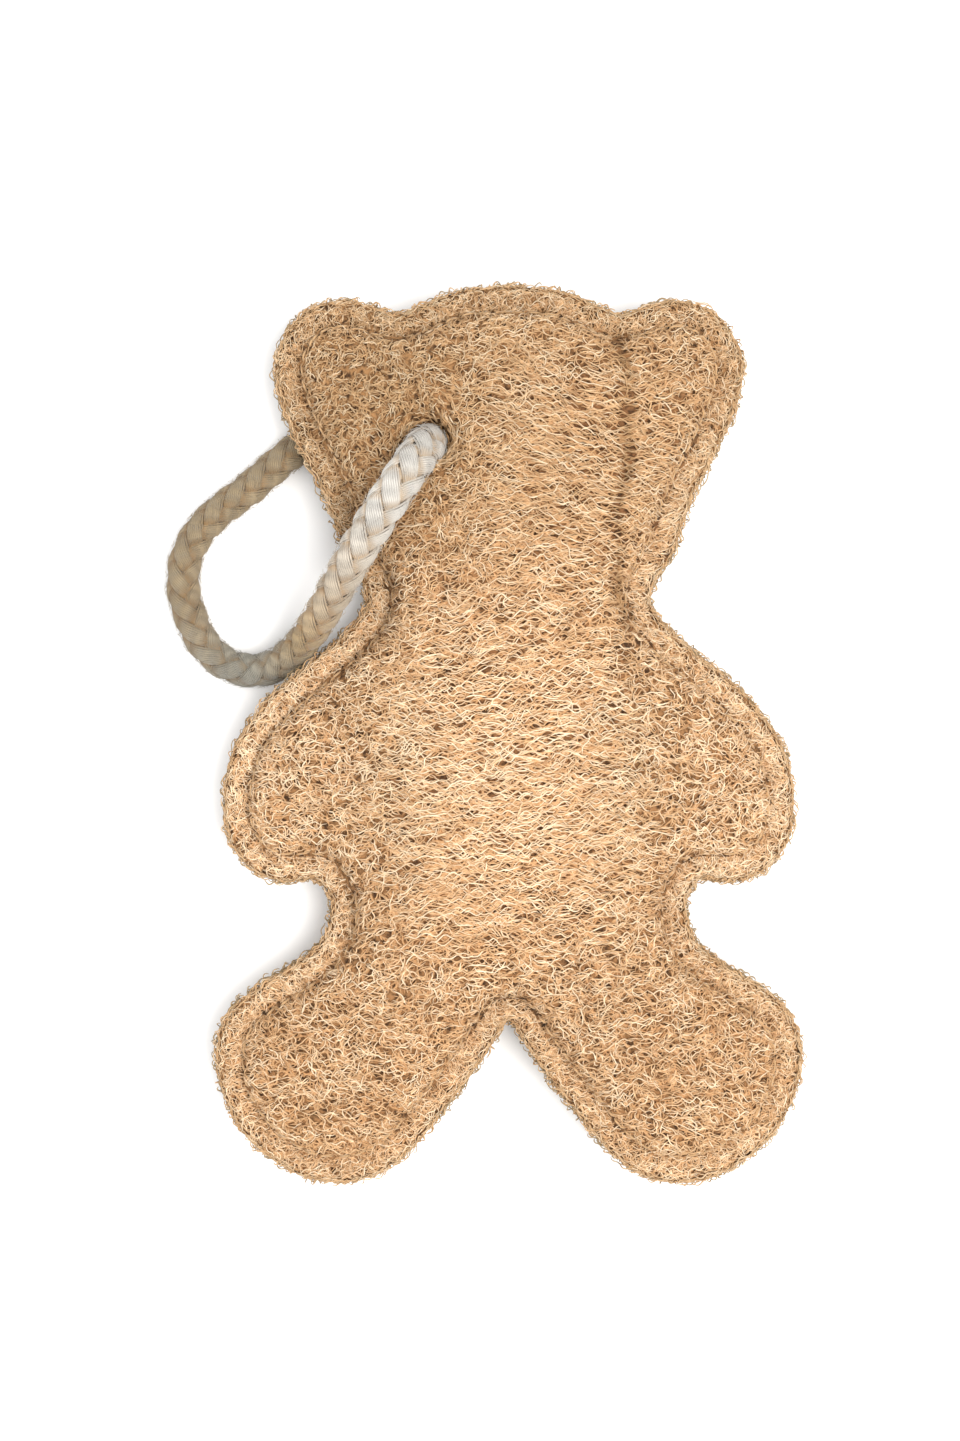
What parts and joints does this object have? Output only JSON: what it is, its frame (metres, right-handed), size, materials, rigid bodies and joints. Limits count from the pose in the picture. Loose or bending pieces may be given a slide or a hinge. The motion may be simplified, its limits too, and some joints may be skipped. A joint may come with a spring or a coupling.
{
  "type": "loofah back scrubber",
  "caption": "Flat bear-shaped body scrubber: two luffa panels lockstitched all round over soft filling, with a braided cotton rope loop through the head to hold and hang it by.",
  "frame": {"origin": "on the floor under the middle of the bear's box, with the scrubber lying on its back", "axes": "+Z out of the front, +Y towards the top of the head, +X towards the side away from the rope loop"},
  "size_m": [0.1829, 0.255, 0.0498],
  "materials": {
    "luffa_front": "matte, open net of dried luffa fibres",
    "luffa_back": "matte, open net of dried luffa fibres",
    "filling": "matte, loose fibre",
    "seam_thread": "matte spun thread",
    "rope_cotton": "matte braided cotton",
    "whipping_thread": "matte wound cotton thread"
  },
  "bodies": {
    "bear": {"front_panel": "luffa_front", "back_panel": "luffa_back", "head_wad": "filling", "torso_wad": "filling", "left_arm_wad": "filling", "right_arm_wad": "filling", "left_leg_wad": "filling", "right_leg_wad": "filling", "needle_thread": "seam_thread", "bobbin_thread": "seam_thread"},
    "rope": {"rope_loop": "rope_cotton", "join_whipping": "whipping_thread"}
  },
  "joints": [
    {"name": "loop_swing", "type": "hinge", "parent": "bear", "child": "rope", "pos_m": [-0.0224, 0.0826, 0.0253], "axis": [0, 0, 1], "range_deg": [-125, 0]}
  ]
}
